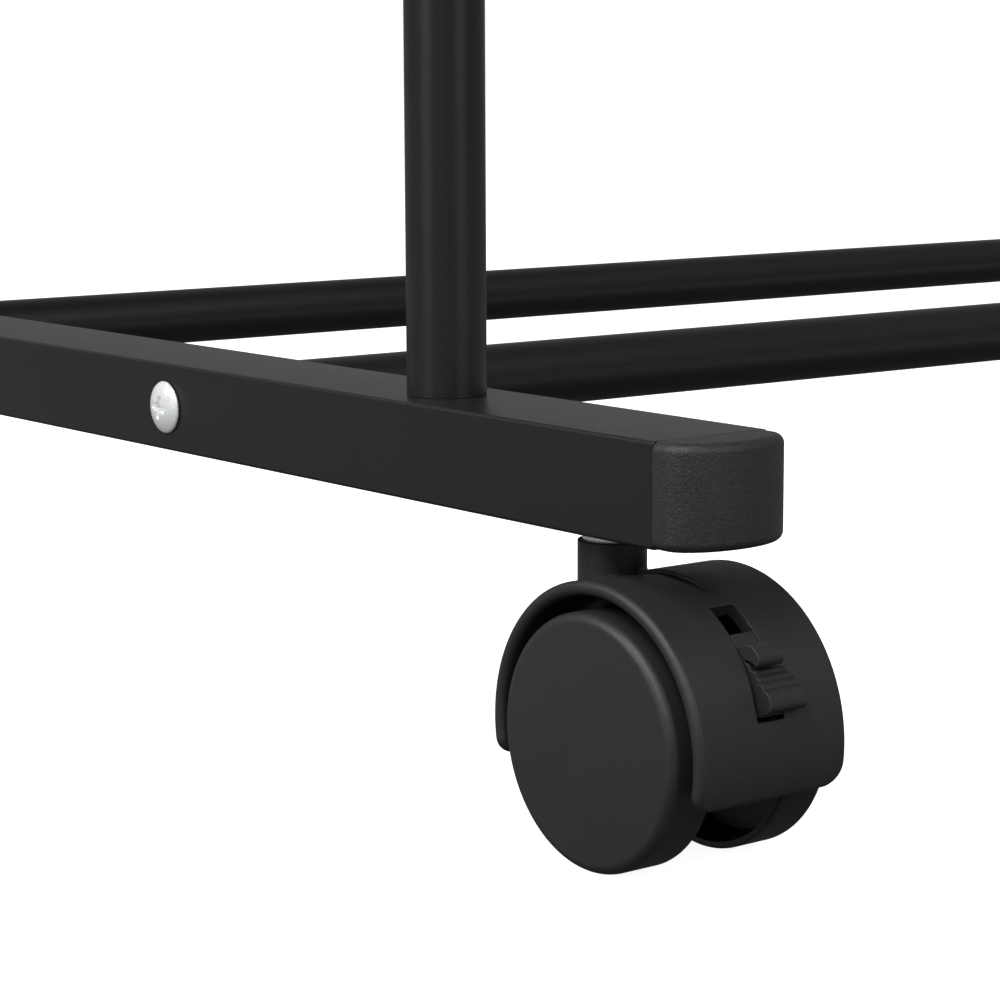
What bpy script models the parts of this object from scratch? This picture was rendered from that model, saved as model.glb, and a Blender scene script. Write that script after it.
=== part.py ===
"""Rolling clothes rack: two rectangular foot rails on twin-wheel casters,
four round uprights, two round shelf rods low down, two top bars and two
round hanging bars.  Metres, +Z up, X along the hanging bars, Y along the
foot rails.  Origin: on the floor, under the middle of the rack."""
import math

import bmesh
import bpy
from mathutils import Matrix, Vector

MM = 0.001

# ---------------------------------------------------------------- sizes, mm
GAP = 0.3                 # clearance between separate pieces

RACK_HALF_X = 550.0       # outer face of a foot rail
RACK_TOP = 1500.0         # top face of the top bars

RAIL_W = 28.2             # foot rail and top bar section
RAIL_H = 20.0
RAIL_WALL = 1.2
RAIL_R = 0.8              # outer edge radius
RAIL_HALF_Y = 266.8       # seam between foot rail and end cap
TOP_HALF_Y = 214.0        # seam between top bar and end cap
CAP_NOSE = 10.7           # how far an end cap stands past its seam
CAP_FLAT = 4.0            # straight part of its sides
CAP_BOW = 1.7             # 2 makes the nose half an ellipse
CAP_EDGE = 1.2
CAP_PLUG = 14.0

TUBE_R = 8.25             # uprights, rods and hanging bars
TUBE_WALL = 1.0
TUBE_SEGS = 18
UPRIGHT_Y = 185.6
ROD_Y = 97.1
BAR_Y = 140.0
PLUG_LEN = 13.0           # threaded bush welded into each end of a tube

SCREW_R = 2.9
SCREW_HEAD_R = 6.0
SCREW_HEAD_H = 2.6
SCREW_HOLE_R = 3.3
SCREW_GRIP = 11.0         # how far a screw reaches into its tube
SEAT = 0.3                # pressed seats: round each upright's foot, and
TUBE_SEAT_R = 8.85        # under each screw head on the top bars
HEAD_SEAT_R = 6.6
NUT_R = 7.0               # nut welded inside the foot rail, over each stem
NUT_H = 6.5

WHEEL_R = 24.64
WHEEL_FACE = 20.0         # outer face of a wheel, from the caster's middle
WHEEL_WIDE = 10.5
WHEEL_SEGS = 20
TRAIL = 15.85             # swivel axis to axle, level
HOOD_R = 30.4
HOOD_WALL = 2.9
HOOD_HALF_X = 18.2
HOOD_END = -15.3          # lower edge of the hood, degrees below level
HOOD_CORNER = 5.0
SLOT_HALF_X = 2.95
SLOT_LOW = 13.5
SLOT_HIGH = 59.6
NECK_R = 6.725
NECK_TOP = 59.2
AXLE_R = 3.0
AXLE_HALF = 16.9
HUB_R = 6.0
HUB_HALF = 9.6
PIN_R = 3.2
PIN_BORE_R = 3.6
COLLAR_R = 5.85
STEM_R = 3.9
STEM_TOP = 77.5
STEM_HOLE_R = 4.3
CASTER_Y = 238.8

RAIL_Z0 = 62.1            # underside of the foot rails
RAIL_Z1 = RAIL_Z0 + RAIL_H
RAIL_X = RACK_HALF_X - RAIL_W / 2
ROD_Z = RAIL_Z0 + RAIL_H / 2
TOP_Z0 = RACK_TOP - RAIL_H
BAR_Z = RACK_TOP - RAIL_H / 2

# ---------------------------------------------------------------- set-up
for old in list(bpy.data.objects):
    bpy.data.objects.remove(old, do_unlink=True)


def material(name, colour, rough, metal):
    mat = bpy.data.materials.new(name)
    mat.use_nodes = True
    shader = mat.node_tree.nodes["Principled BSDF"]
    shader.inputs["Base Color"].default_value = (*colour, 1.0)
    shader.inputs["Roughness"].default_value = rough
    shader.inputs["Metallic"].default_value = metal
    mat.diffuse_color = (*colour, 1.0)
    return mat


def own(base, name):
    """A part's own copy of a base finish."""
    mat = base.copy()
    mat.name = name + "_finish"
    return mat


COAT = material("powder_coat", (0.016, 0.016, 0.017), 0.42, 0.0)
PLASTIC = material("black_plastic", (0.022, 0.022, 0.023), 0.6, 0.0)
ZINC = material("zinc", (0.72, 0.73, 0.74), 0.28, 1.0)


def finish(bm, name, mat, smooth=None, parent=None, place=(0, 0, 0)):
    """Turn a bmesh in mm, built about its own origin, into a named object."""
    bmesh.ops.recalc_face_normals(bm, faces=bm.faces)
    bmesh.ops.scale(bm, vec=(MM, MM, MM), verts=bm.verts)
    me = bpy.data.meshes.new(name)
    bm.to_mesh(me)
    bm.free()
    if smooth:
        me.shade_smooth()
        me.set_sharp_from_angle(angle=math.radians(smooth))
    return place_mesh(me, name, mat, parent, place)


def place_mesh(me, name, mat, parent=None, place=(0, 0, 0), turn=None):
    ob = bpy.data.objects.new(name, me)
    bpy.context.scene.collection.objects.link(ob)
    ob.location = Vector(place) * MM
    if turn is not None:
        ob.rotation_euler = turn
    if parent is not None:
        ob.parent = parent
    if mat is not None:
        if not me.materials:
            me.materials.append(None)
        ob.material_slots[0].link = "OBJECT"
        ob.material_slots[0].material = own(mat, name)
    return ob


def guide(ob):
    """A cutter or a guide shape: never part of the model."""
    ob.hide_render = True
    ob.display_type = "WIRE"
    return ob


def boolean(ob, other, operation):
    mod = ob.modifiers.new(operation.lower(), "BOOLEAN")
    mod.object = other
    mod.operation = operation
    mod.solver = "EXACT"


def evaluated(ob):
    """The object's mesh with its modifiers worked in, for sharing."""
    graph = bpy.context.evaluated_depsgraph_get()
    me = bpy.data.meshes.new_from_object(ob.evaluated_get(graph))
    me.name = ob.name + "_mesh"
    return me


# ---------------------------------------------------------------- shapes
def loft(bm, rings, closed=False):
    """Skin equal rings of points; cap the two ends unless closed."""
    rows = [[bm.verts.new(p) for p in ring] for ring in rings]
    n = len(rows[0])
    pairs = list(zip(rows, rows[1:]))
    if closed:
        pairs.append((rows[-1], rows[0]))
    for a, b in pairs:
        for i in range(n):
            j = (i + 1) % n
            bm.faces.new((a[i], a[j], b[j], b[i]))
    if not closed:
        bm.faces.new(rows[0][::-1])
        bm.faces.new(rows[-1])
    return rows


def turned(bm, profile, segs, axis="Z", start=0.0, closed=False, at=(0, 0, 0)):
    """Turn a profile of (radius, height) about an axis.

    A point of radius 0 becomes one vertex on the axis.  A closed profile
    makes a ring with a bore; an open one starts and ends on the axis."""
    def put(r, h, a):
        c, s = r * math.cos(a), r * math.sin(a)
        v = {"Z": (c, s, h), "X": (h, c, s), "Y": (s, h, c)}[axis]
        return bm.verts.new(Vector(v) + Vector(at))
    rings = []
    for r, h in profile:
        if r == 0:
            rings.append([put(0, h, 0)])
        else:
            rings.append([put(r, h, start + 2 * math.pi * k / segs)
                          for k in range(segs)])
    pairs = list(zip(rings, rings[1:]))
    if closed:
        pairs.append((rings[-1], rings[0]))
    for a, b in pairs:
        for k in range(segs):
            m = (k + 1) % segs
            if len(a) == 1 and len(b) == 1:
                continue
            if len(a) == 1:
                bm.faces.new((a[0], b[k], b[m]))
            elif len(b) == 1:
                bm.faces.new((a[k], a[m], b[0]))
            else:
                bm.faces.new((a[k], a[m], b[m], b[k]))


def pipe(bm, r_out, r_in, h0, h1, segs, axis="Z", at=(0, 0, 0)):
    turned(bm, [(r_out, h0), (r_out, h1), (r_in, h1), (r_in, h0)], segs,
           axis, closed=True, at=at)


def rod_shape(bm, r, h0, h1, segs, axis="Z", at=(0, 0, 0), start=0.0):
    turned(bm, [(0, h0), (r, h0), (r, h1), (0, h1)], segs, axis, start, at=at)


def box(bm, lo, hi):
    loft(bm, [[(lo[0], lo[1], z), (hi[0], lo[1], z), (hi[0], hi[1], z),
               (lo[0], hi[1], z)] for z in (lo[2], hi[2])])


def round_rect(half_a, half_b, r, steps=2):
    """Outline of a rectangle with round corners, in its own plane."""
    pts = []
    for cx, cy, a0 in ((half_a - r, half_b - r, 0), (r - half_a, half_b - r, 90),
                       (r - half_a, r - half_b, 180), (half_a - r, r - half_b, 270)):
        for k in range(steps + 1):
            a = math.radians(a0 + 90 * k / steps)
            pts.append((cx + r * math.cos(a), cy + r * math.sin(a)))
    return pts


def sector(bm, x0, x1, r0, r1, a0, a1, steps, c=(0.0, 0.0), half=None):
    """A curved bar about an X axis through c=(y, z): angles count up from
    the -Y direction.  half(angle) may narrow it towards its ends."""
    rings = []
    angles = steps if isinstance(steps, list) else [
        a0 + (a1 - a0) * k / steps for k in range(steps + 1)]
    for a in angles:
        lo, hi = (x0, x1) if half is None else (-half(a), half(a))
        ca, sa = math.cos(math.radians(a)), math.sin(math.radians(a))
        rings.append([(x, c[0] - r * ca, c[1] + r * sa)
                      for x, r in ((lo, r0), (hi, r0), (hi, r1), (lo, r1))])
    loft(bm, rings)


# ---------------------------------------------------------------- rails
def rail(name, half_y, z_mid, side, holes, seat_r):
    """A rectangular tube along Y with its drilled holes, each upright's
    hole with a shallow round seat of radius seat_r in the top face.

    side is -1 for the left of the rack and +1 for the right."""
    bm = bmesh.new()
    outer = round_rect(RAIL_W / 2, RAIL_H / 2, RAIL_R)
    inner = round_rect(RAIL_W / 2 - RAIL_WALL, RAIL_H / 2 - RAIL_WALL, 0.4)
    y = half_y - GAP / 2
    rings = [[(a, e, b) for a, b in pts] for e, pts in
             ((-y, outer), (y, outer), (y, inner), (-y, inner))]
    loft(bm, rings, closed=True)
    ob = finish(bm, name, COAT, smooth=50, place=(side * RAIL_X, 0, z_mid))
    for kind, hy, r in holes:
        if kind == "stem":
            nb = bmesh.new()
            low = RAIL_WALL / 2 - RAIL_H / 2
            rod_shape(nb, NUT_R, low, low + RAIL_WALL / 2 + NUT_H, 6, "Z",
                      at=(0, hy, 0))
            nut = guide(finish(nb, f"{name}_nut", None,
                               place=(side * RAIL_X, 0, z_mid)))
            boolean(ob, nut, "UNION")
    cb, sb = bmesh.new(), bmesh.new()
    for kind, hy, r in holes:
        if kind == "across":
            rod_shape(cb, r, -RAIL_W, RAIL_W, 10, "X", at=(0, hy, 0))
        elif kind == "upright":
            rod_shape(cb, r, -RAIL_H, RAIL_H, 10, "Z", at=(0, hy, 0))
            rod_shape(sb, seat_r, RAIL_H / 2 - SEAT, RAIL_H / 2 + 2, 12, "Z",
                      at=(0, hy, 0))
        else:
            rod_shape(cb, r, -RAIL_H, 0, 10, "Z", at=(0, hy, 0))
    cutter = guide(finish(cb, name + "_drill", None,
                          place=(side * RAIL_X, 0, z_mid)))
    boolean(ob, cutter, "DIFFERENCE")
    seats = guide(finish(sb, name + "_seats", None,
                         place=(side * RAIL_X, 0, z_mid)))
    boolean(ob, seats, "DIFFERENCE")
    return ob


FOOT_HOLES = [(k, s * y, r) for s in (-1, 1) for k, y, r in (
    ("across", ROD_Y, SCREW_HOLE_R), ("upright", UPRIGHT_Y, SCREW_HOLE_R),
    ("stem", CASTER_Y, STEM_HOLE_R))]
TOP_HOLES = [(k, s * y, r) for s in (-1, 1) for k, y, r in (
    ("across", BAR_Y, SCREW_HOLE_R), ("upright", UPRIGHT_Y, SCREW_HOLE_R))]

for side, word in ((-1, "left"), (1, "right")):
    rail("foot_rail_" + word, RAIL_HALF_Y, ROD_Z, side, FOOT_HOLES, TUBE_SEAT_R)
    rail("top_bar_" + word, TOP_HALF_Y, BAR_Z, side, TOP_HOLES, HEAD_SEAT_R)


# ---------------------------------------------------------------- end caps
def cap_mesh():
    """One end cap: its seam at y = 0, nose towards -Y, plug towards +Y."""
    def plan(inset):
        w, d = RAIL_W / 2 - inset, CAP_NOSE - CAP_FLAT - inset
        pts = [(w, -GAP / 2), (w, -CAP_FLAT)]
        pts += [(w * math.cos(math.radians(a)) ** (2 / CAP_BOW),
                 -CAP_FLAT - d * math.sin(math.radians(a)) ** (2 / CAP_BOW))
                for a in (14, 28, 42, 56, 70)]
        return (pts + [(0, inset - CAP_NOSE)]
                + [(-x, y) for x, y in pts[::-1]])
    bm = bmesh.new()
    h = RAIL_H / 2
    loft(bm, [[(x, y, z) for x, y in plan(i)] for z, i in
              ((-h, CAP_EDGE), (CAP_EDGE - h, 0), (h - CAP_EDGE, 0),
               (h, CAP_EDGE))])
    nose = guide(finish(bm, "cap_form", None, smooth=50))
    bm = bmesh.new()
    a, b = RAIL_W / 2 - RAIL_WALL - GAP, RAIL_H / 2 - RAIL_WALL - GAP
    rings = [[(x, y, z) for x, z in round_rect(a - c, b - c, 0.5, 1)]
             for y, c in ((-1.0, 0), (CAP_PLUG - 1.5, 0), (CAP_PLUG, 1.2))]
    loft(bm, rings)
    plug = guide(finish(bm, "cap_plug_form", None))
    boolean(nose, plug, "UNION")
    me = evaluated(nose)
    me.materials.clear()
    me.materials.append(None)
    return me


CAP = cap_mesh()
for side, word in ((-1, "left"), (1, "right")):
    for end, where in ((-1, "front"), (1, "rear")):
        for part, half, z in (("foot", RAIL_HALF_Y, ROD_Z),
                              ("top", TOP_HALF_Y, BAR_Z)):
            place_mesh(CAP, f"{part}_cap_{where}_{word}", PLASTIC,
                       place=(side * RAIL_X, end * half, z),
                       turn=(0, 0, 0 if end < 0 else math.pi))


# ---------------------------------------------------------------- tubes
def round_tube(bm, h0, h1, axis):
    """A round tube with a threaded bush welded into each end."""
    r = TUBE_R - TUBE_WALL
    turned(bm, [(TUBE_R, h0), (TUBE_R, h1), (SCREW_HOLE_R, h1),
                (SCREW_HOLE_R, h1 - PLUG_LEN), (r, h1 - PLUG_LEN),
                (r, h0 + PLUG_LEN), (SCREW_HOLE_R, h0 + PLUG_LEN),
                (SCREW_HOLE_R, h0)], TUBE_SEGS, axis, closed=True)


def upright(name, x, y):
    bm = bmesh.new()
    foot = RAIL_Z1 - SEAT + GAP
    round_tube(bm, 0, TOP_Z0 - GAP - foot, "Z")
    finish(bm, name, COAT, smooth=50, place=(x, y, foot))


def cross_tube(name, y, z):
    bm = bmesh.new()
    half = RACK_HALF_X - RAIL_W - GAP
    round_tube(bm, -half, half, "X")
    finish(bm, name, COAT, smooth=50, place=(0, y, z))


for side, word in ((-1, "left"), (1, "right")):
    for end, where in ((-1, "front"), (1, "rear")):
        upright(f"upright_{where}_{word}", side * RAIL_X, end * UPRIGHT_Y)

cross_tube("shelf_rod_front", -ROD_Y, ROD_Z)
cross_tube("shelf_rod_rear", ROD_Y, ROD_Z)
cross_tube("hanging_bar_front", -BAR_Y, BAR_Z)
cross_tube("hanging_bar_rear", BAR_Y, BAR_Z)


# ---------------------------------------------------------------- screws
def screw(name, at, direction, axis, thick):
    """A pan-head screw whose head sits on the face at `at` and whose shank
    runs in `direction` (+1 or -1) along the axis, through `thick` and on
    into a tube's end."""
    d = direction
    bm = bmesh.new()
    turned(bm, [(0, -d * (GAP + SCREW_HEAD_H)),
                (SCREW_HEAD_R * 0.62, -d * (GAP + SCREW_HEAD_H * 0.86)),
                (SCREW_HEAD_R, -d * (GAP + SCREW_HEAD_H * 0.3)),
                (SCREW_HEAD_R, -d * GAP), (SCREW_R, -d * GAP),
                (SCREW_R, d * (thick + GAP + SCREW_GRIP)),
                (0, d * (thick + GAP + SCREW_GRIP))], 10, axis)
    finish(bm, name, ZINC, smooth=40, place=at)


for side, word in ((-1, "left"), (1, "right")):
    for end, where in ((-1, "front"), (1, "rear")):
        tag = f"{where}_{word}"
        screw(f"shelf_rod_screw_{tag}",
              (side * RACK_HALF_X, end * ROD_Y, ROD_Z), -side, "X", RAIL_W)
        screw(f"hanging_bar_screw_{tag}",
              (side * RACK_HALF_X, end * BAR_Y, BAR_Z), -side, "X", RAIL_W)
        screw(f"upright_screw_bottom_{tag}",
              (side * RAIL_X, end * UPRIGHT_Y, RAIL_Z0), 1, "Z", RAIL_H)
        screw(f"upright_screw_top_{tag}",
              (side * RAIL_X, end * UPRIGHT_Y, RACK_TOP - SEAT), -1, "Z",
              RAIL_H - SEAT)


# ---------------------------------------------------------------- casters
# Built about the swivel axis at floor level; the wheels trail towards -Y.
AXLE_YZ = (-TRAIL, WHEEL_R)


def hood_mesh():
    def half(a):
        past = min(a - HOOD_END, 180 - HOOD_END - a)
        s = math.radians(past) * HOOD_R
        if s >= HOOD_CORNER:
            return HOOD_HALF_X
        c = max(0.0, 1 - s / HOOD_CORNER)
        return HOOD_HALF_X - HOOD_CORNER * (1 - math.sqrt(max(0.0, 1 - c * c)))
    turn = math.degrees(HOOD_CORNER / HOOD_R)
    knee = math.degrees(HOOD_CORNER * (1 - math.cos(math.radians(45))) / HOOD_R)
    lo, hi = HOOD_END, 180 - HOOD_END
    angles = [lo, lo + knee]
    angles += [lo + turn + (hi - lo - 2 * turn) * k / 16 for k in range(17)]
    angles += [hi - knee, hi]
    bm = bmesh.new()
    sector(bm, 0, 0, HOOD_R - HOOD_WALL, HOOD_R, 0, 0, angles, AXLE_YZ, half)
    hood = guide(finish(bm, "hood_form", None, smooth=40))

    # middle web, from the hub up and back to the shell
    bm = bmesh.new()
    r = HOOD_R - 1.2
    pts = [(-7.0, -6.0), (7.0, -9.0)]
    pts += [(r * math.cos(math.radians(a)), r * math.sin(math.radians(a)))
            for a in (-8, 10, 28, 46, 64, 82, 94)]
    pts += [(-7.0, 7.0)]
    loft(bm, [[(x, AXLE_YZ[0] + y, AXLE_YZ[1] + z) for y, z in pts]
              for x in (-2.5, 2.5)])
    web = guide(finish(bm, "web_form", None))

    # axle hub and neck
    bm = bmesh.new()
    rod_shape(bm, HUB_R, -HUB_HALF, HUB_HALF, 14, "X", at=(0, *AXLE_YZ))
    hub = guide(finish(bm, "hub_form", None))
    bm = bmesh.new()
    rod_shape(bm, NECK_R, 32.0, NECK_TOP, 18)
    neck = guide(finish(bm, "neck_form", None))

    # bores and the brake slot
    bm = bmesh.new()
    rod_shape(bm, PIN_BORE_R, 35.8, NECK_TOP + 5, 12)
    pin_bore = guide(finish(bm, "pin_bore_form", None))
    bm = bmesh.new()
    rod_shape(bm, AXLE_R + GAP, -30, 30, 12, "X", at=(0, *AXLE_YZ))
    axle_bore = guide(finish(bm, "axle_bore_form", None))
    bm = bmesh.new()
    sector(bm, -SLOT_HALF_X, SLOT_HALF_X, 25.5, 33.0, SLOT_LOW, SLOT_HIGH, 3,
           AXLE_YZ)
    slot = guide(finish(bm, "slot_form", None))

    for other in (web, hub, neck):
        boolean(hood, other, "UNION")
    for other in (pin_bore, axle_bore, slot):
        boolean(hood, other, "DIFFERENCE")
    me = evaluated(hood)
    me.materials.clear()
    me.materials.append(None)
    return me


def wheel_mesh():
    """One wheel, outer face at x = 0, open side towards +X."""
    bm = bmesh.new()
    r, w = WHEEL_R, WHEEL_WIDE
    turned(bm, [(0, 0), (r - 1.5, 0), (r, 1.4), (r, w), (r - 1.7, w),
                (r - 2.3, 2.6), (6.0, 2.6), (6.0, w - 0.6),
                (AXLE_R + GAP, w - 0.6), (AXLE_R + GAP, 2.8), (0, 2.8)],
           WHEEL_SEGS, "X", start=-math.pi / 2)
    ob = guide(finish(bm, "wheel_form", None, smooth=40))
    me = evaluated(ob)
    me.materials.clear()
    me.materials.append(None)
    return me


def prism(bm, x0, pts):
    """An outline of (angle, radius, x) about the axle, from x0 to each x."""
    loft(bm, [[(x0 if near else x, -q * math.cos(math.radians(a)),
                q * math.sin(math.radians(a))) for a, q, x in pts]
              for near in (True, False)])


def brake_mesh():
    """The brake slider, about the axle as its origin: a plate in the slot,
    a ribbed ramp and a thumb block, both spread over the hood."""
    half, side, over = 2.65, 6.2, HOOD_R + 0.4
    slope = [(33.2, 30.9)]
    for a, q in ((30.1, 31.42), (27.2, 32.05), (24.4, 32.75)):
        slope += [(a + 0.75, q - 0.15), (a, q - 0.42), (a - 0.75, q + 0.15)]
    slope += [(20.6, 33.5), (17.6, 33.5), (16.4, 32.8), (16.1, 31.6)]
    crest = [(40.0, 31.9, 1.0), (38.6, 33.3, 1.6), (36.2, 33.85, 2.6),
             (33.0, 33.75, 3.9), (31.2, 33.4, 4.5), (30.9, 32.8, 4.5)]
    shapes = (
        [(34.5, 29.6, half), (34.5, 30.5, half)]
        + [(a, q, half) for a, q in slope]
        + [(16.1, 29.6, half), (25.0, 29.6, half)],
        [(33.0, over, side)] + [(a, q, side) for a, q in slope]
        + [(16.2, over, side), (21.8, over, side), (27.4, over, side)],
        [(40.4, 29.6, half)] + [(a, q, half) for a, q, x in crest]
        + [(31.9, 31.3, half), (33.0, 29.6, half)],
        [(40.2, over, 1.0)] + crest
        + [(32.2, 31.3, 4.2), (33.0, over, 3.9), (36.6, over, 2.4)])
    bm = bmesh.new()
    sector(bm, -half, half, HOOD_R - HOOD_WALL + 0.4, HOOD_R - 0.1, 15.0, 46.0,
           4)
    core = guide(finish(bm, "brake_core_form", None, smooth=30))
    for k, pts in enumerate(shapes):
        bm = bmesh.new()
        prism(bm, -half, pts)
        boolean(core, guide(finish(bm, f"brake_shape_{k}_form", None)),
                "UNION")
    me = evaluated(core)
    me.materials.clear()
    me.materials.append(None)
    return me


HOOD = hood_mesh()
WHEEL = wheel_mesh()
BRAKE = brake_mesh()

for side, word in ((-1, "left"), (1, "right")):
    for end, where in ((-1, "front"), (1, "rear")):
        tag = f"{where}_{word}"
        swivel = bpy.data.objects.new(f"swivel_{tag}", None)
        bpy.context.scene.collection.objects.link(swivel)
        swivel.location = Vector((side * RAIL_X, end * CASTER_Y, 0)) * MM
        swivel.rotation_euler = (0, 0, 0 if end < 0 else math.pi)
        place_mesh(HOOD, f"caster_hood_{tag}", PLASTIC, swivel)

        # zinc stem: swivel pin, collar and threaded end
        bm = bmesh.new()
        turned(bm, [(0, 36.2), (PIN_R, 36.2), (PIN_R, NECK_TOP + GAP),
                    (COLLAR_R, NECK_TOP + GAP), (COLLAR_R, RAIL_Z0 - GAP),
                    (STEM_R, RAIL_Z0 - GAP), (STEM_R, STEM_TOP - 1),
                    (STEM_R - 0.8, STEM_TOP), (0, STEM_TOP)], 12)
        finish(bm, f"caster_stem_{tag}", ZINC, smooth=40, parent=swivel)

        bm = bmesh.new()
        rod_shape(bm, AXLE_R, -AXLE_HALF, AXLE_HALF, 12, "X")
        finish(bm, f"caster_axle_{tag}", ZINC, smooth=40, parent=swivel,
               place=(0, *AXLE_YZ))
        for local in (-1, 1):
            outer = (local * (1 if end < 0 else -1)) == side
            name = f"wheel_{'outer' if outer else 'inner'}_{tag}"
            place_mesh(WHEEL, name, PLASTIC, swivel,
                       place=(local * WHEEL_FACE, *AXLE_YZ),
                       turn=(0, 0, 0 if local < 0 else math.pi))
        place_mesh(BRAKE, f"brake_slider_{tag}", PLASTIC, swivel,
                   place=(0, *AXLE_YZ))
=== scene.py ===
import math

import bpy
import numpy as np
from mathutils import Matrix, Vector


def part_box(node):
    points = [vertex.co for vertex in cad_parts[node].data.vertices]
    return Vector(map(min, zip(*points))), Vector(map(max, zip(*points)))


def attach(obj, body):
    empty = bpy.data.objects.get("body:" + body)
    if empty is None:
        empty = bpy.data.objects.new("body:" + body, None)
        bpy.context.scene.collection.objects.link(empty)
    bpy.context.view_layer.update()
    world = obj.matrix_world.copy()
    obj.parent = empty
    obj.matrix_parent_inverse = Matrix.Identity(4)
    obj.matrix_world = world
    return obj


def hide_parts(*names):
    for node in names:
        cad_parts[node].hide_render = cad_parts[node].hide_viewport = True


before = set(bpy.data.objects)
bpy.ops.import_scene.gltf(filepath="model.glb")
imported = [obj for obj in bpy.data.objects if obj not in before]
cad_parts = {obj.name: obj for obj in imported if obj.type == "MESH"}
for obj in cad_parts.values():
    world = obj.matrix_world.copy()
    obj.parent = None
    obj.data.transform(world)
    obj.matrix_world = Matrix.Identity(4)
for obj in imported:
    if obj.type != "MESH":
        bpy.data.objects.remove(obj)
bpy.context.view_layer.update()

# Rolling clothes rack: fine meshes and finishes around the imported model.
# Working units are millimetres; meshes are written in metres.
MM = 0.001


# =====================================================================
# mesh helpers
# =====================================================================
def new_mesh(name, verts, faces, sharp=None, normals=None):
    """A mesh from points in mm.  sharp: smooth shading split above that
    many degrees.  normals: one exact normal for each vertex."""
    me = bpy.data.meshes.new(name)
    me.from_pydata((np.asarray(verts, float) * MM).tolist(), [],
                   faces.tolist() if isinstance(faces, np.ndarray) else faces)
    me.validate()
    me.shade_smooth()
    if normals is not None:
        me.normals_split_custom_set_from_vertices(
            np.asarray(normals, float).tolist())
    elif sharp is not None:
        me.set_sharp_from_angle(angle=math.radians(sharp))
    me.update()
    return me


def arc(cx, cy, r, a0, a1, n):
    """Points of an arc in 2D, degrees, both ends included."""
    return [(cx + r * math.cos(math.radians(a0 + (a1 - a0) * k / n)),
             cy + r * math.sin(math.radians(a0 + (a1 - a0) * k / n)))
            for k in range(n + 1)]


def turned(profile, segs, axis="Z", closed=False, start=0.0):
    """Verts and faces of a profile of (radius, height) turned about an
    axis.  Radius 0 is a point on the axis; closed joins last to first."""
    verts, rings, faces = [], [], []
    for r, h in profile:
        if r == 0:
            rings.append([len(verts)])
            verts.append({"Z": (0, 0, h), "X": (h, 0, 0)}[axis])
            continue
        ring = []
        for k in range(segs):
            a = start + 2 * math.pi * k / segs
            c, s = r * math.cos(a), r * math.sin(a)
            ring.append(len(verts))
            verts.append({"Z": (c, s, h), "X": (h, c, s)}[axis])
        rings.append(ring)
    pairs = list(zip(rings, rings[1:]))
    if closed:
        pairs.append((rings[-1], rings[0]))
    for a, b in pairs:
        for k in range(segs):
            m = (k + 1) % segs
            if len(a) == 1 and len(b) == 1:
                continue
            if len(a) == 1:
                faces.append((a[0], b[m], b[k]))
            elif len(b) == 1:
                faces.append((a[k], a[m], b[0]))
            else:
                faces.append((a[k], a[m], b[m], b[k]))
    return verts, faces


def facing_out(verts, faces):
    """The faces turned so that the closed shape's volume is positive."""
    v = np.asarray(verts, float)
    vol = 0.0
    for f in faces:
        a = v[f[0]]
        for i in range(1, len(f) - 1):
            vol += np.dot(a, np.cross(v[f[i]], v[f[i + 1]]))
    return faces if vol > 0 else [tuple(reversed(f)) for f in faces]


def loft(rings, closed=False):
    """Verts and faces that skin equal rings of 3D points."""
    verts, faces = [], []
    n = len(rings[0])
    for ring in rings:
        verts += [tuple(p) for p in ring]
    rows = [list(range(i * n, i * n + n)) for i in range(len(rings))]
    pairs = list(zip(rows, rows[1:]))
    if closed:
        pairs.append((rows[-1], rows[0]))
    for a, b in pairs:
        for i in range(n):
            j = (i + 1) % n
            faces.append((a[i], a[j], b[j], b[i]))
    if not closed:
        faces.append(tuple(reversed(rows[0])))
        faces.append(tuple(rows[-1]))
    return verts, faces


def join(*parts):
    verts, faces = [], []
    for v, f in parts:
        base = len(verts)
        verts += [tuple(p) for p in v]
        faces += [tuple(i + base for i in face) for face in f]
    return verts, faces


# =====================================================================
# distance fields, for the moulded pieces
# =====================================================================
def smin(a, b, k):
    """Union with a rounded inner corner of about k mm."""
    h = np.maximum(k - np.abs(a - b), 0.0) / k
    return np.minimum(a, b) - h * h * k * 0.25


def smax(a, b, k):
    return -smin(-a, -b, k)


def rounded(d1, d2, r):
    """Intersection of two slabs with its outer edges rounded to r."""
    q1, q2 = d1 + r, d2 + r
    return (np.minimum(np.maximum(q1, q2), 0.0)
            + np.hypot(np.maximum(q1, 0.0), np.maximum(q2, 0.0)) - r)


def rect2(a, b, ha, hb, r):
    """Signed distance to a 2D rectangle of half sides ha, hb, corners r."""
    return rounded(np.abs(a) - ha, np.abs(b) - hb, r)


def polygon2(u, v, pts):
    """Signed distance to a closed 2D polygon."""
    d = np.full(u.shape, 1e9, u.dtype)
    inside = np.zeros(u.shape, bool)
    n = len(pts)
    for i in range(n):
        (ax, ay), (bx, by) = pts[i], pts[(i + 1) % n]
        ex, ey = bx - ax, by - ay
        wx, wy = u - ax, v - ay
        t = np.clip((wx * ex + wy * ey) / (ex * ex + ey * ey), 0, 1)
        d = np.minimum(d, (wx - ex * t) ** 2 + (wy - ey * t) ** 2)
        if ey != 0:
            cross = ((ay <= v) & (by > v)) | ((by <= v) & (ay > v))
            inside ^= cross & (u < ax + (v - ay) * ex / ey)
    d = np.sqrt(d)
    return np.where(inside, -d, d)


def step_up(x, a, b):
    """Smooth 0 to 1 as x goes from a to b."""
    t = np.clip((x - a) / (b - a), 0.0, 1.0)
    return t * t * (3 - 2 * t)


def gradient(f, p, e=0.02):
    g = np.empty_like(p)
    for k in range(3):
        o = np.zeros(3, p.dtype)
        o[k] = e
        g[:, k] = (f(p + o) - f(p - o)) / (2 * e)
    return g


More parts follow.
